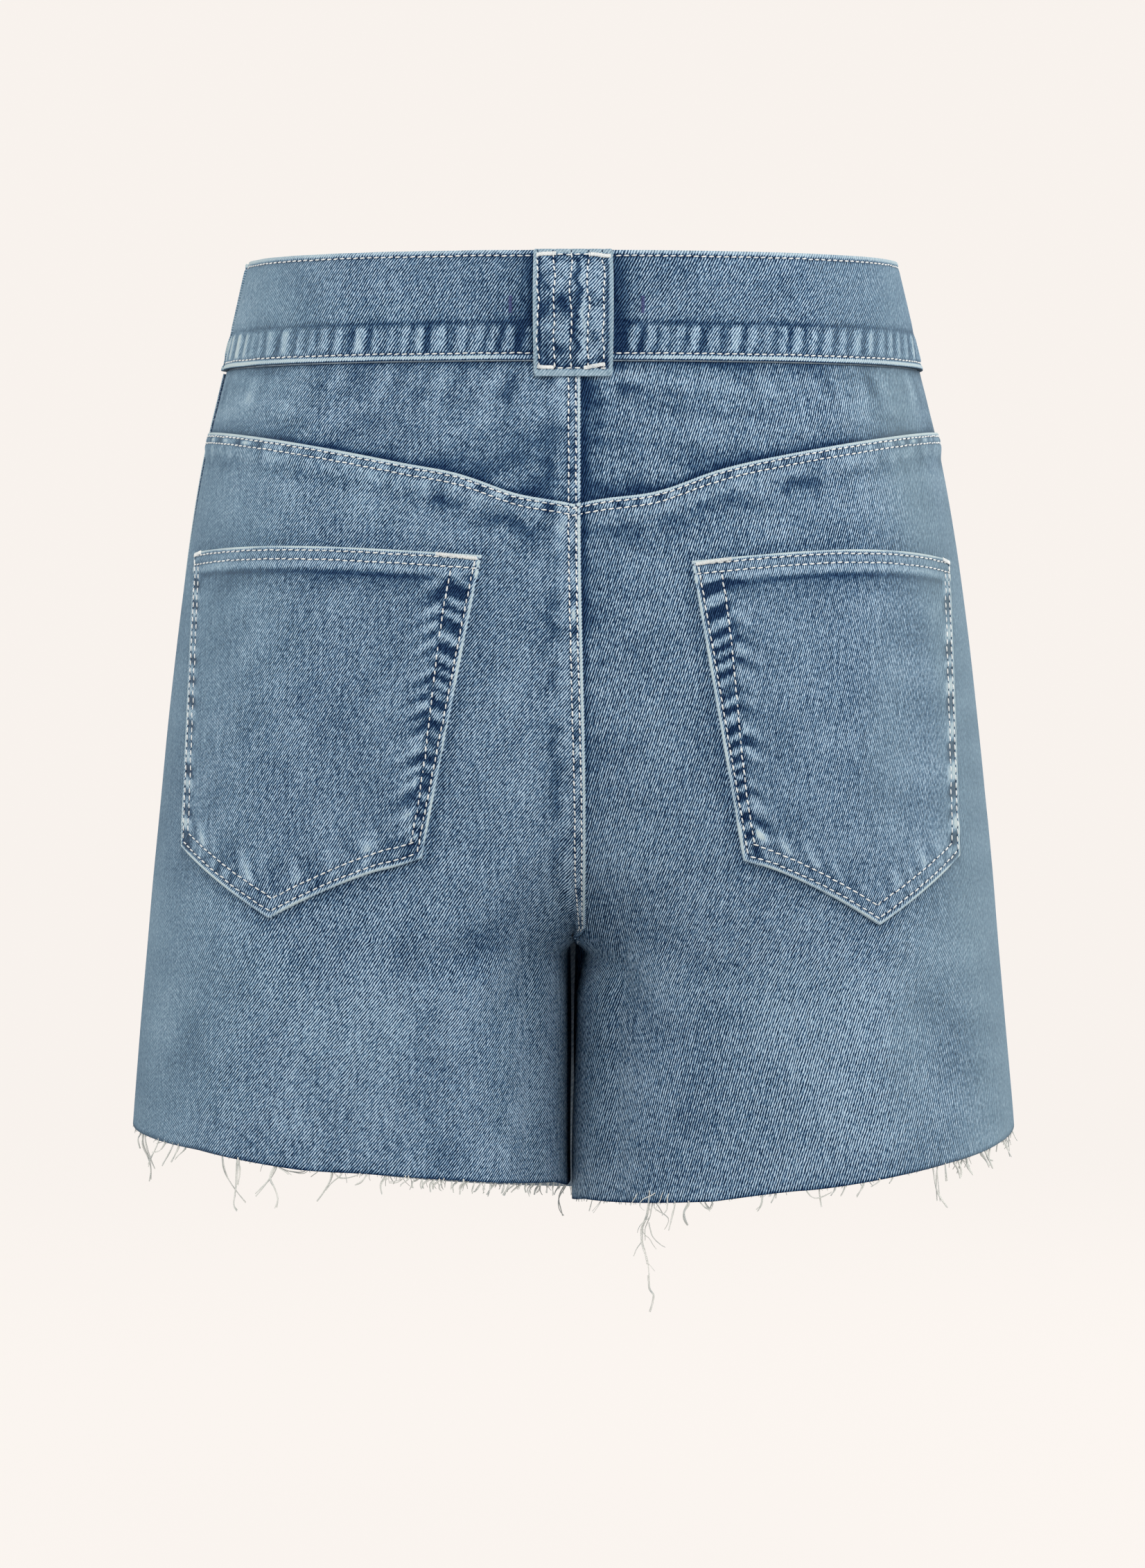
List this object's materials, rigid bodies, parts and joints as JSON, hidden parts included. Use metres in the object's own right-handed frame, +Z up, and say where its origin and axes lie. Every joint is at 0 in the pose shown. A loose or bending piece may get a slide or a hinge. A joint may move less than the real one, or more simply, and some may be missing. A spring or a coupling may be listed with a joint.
{
  "type": "denim skort",
  "caption": "Short denim skort held open as worn: shorts with a skirt panel across the front, patch pockets and V yoke behind, wide waistband with a broad centre belt loop, raw frayed hems.",
  "frame": {"origin": "centre of the waist opening, half way up the waistband, where the wearer's waist holds the garment", "axes": "+Z up; the wearer faces -Y, so the back with its pockets faces +Y; +X is the wearer's left"},
  "size_m": [0.3952, 0.2441, 0.4633],
  "materials": {
    "denim": "washed mid-blue stretch denim, right-hand twill of pale weft and navy warp, rubbed pale along the seams",
    "fringe": "frayed pale cotton weft threads at a raw edge",
    "thread": "off-white cotton topstitching thread",
    "button_metal": "plain antique brass tack button"
  },
  "bodies": {
    "root": {"back_left": "denim", "back_right": "denim", "yoke_left": "denim", "yoke_right": "denim", "front_left": "denim", "front_right": "denim", "waistband_left": "denim", "waistband_right": "denim", "belt_loop": "denim", "pocket_left": "denim", "pocket_right": "denim", "skirt_panel": "denim", "skirt_band": "denim", "band_button": "button_metal", "hem_fringe_left": "fringe", "hem_fringe_right": "fringe", "skirt_fringe": "fringe", "loose_threads": "thread"}
  },
  "joints": []
}
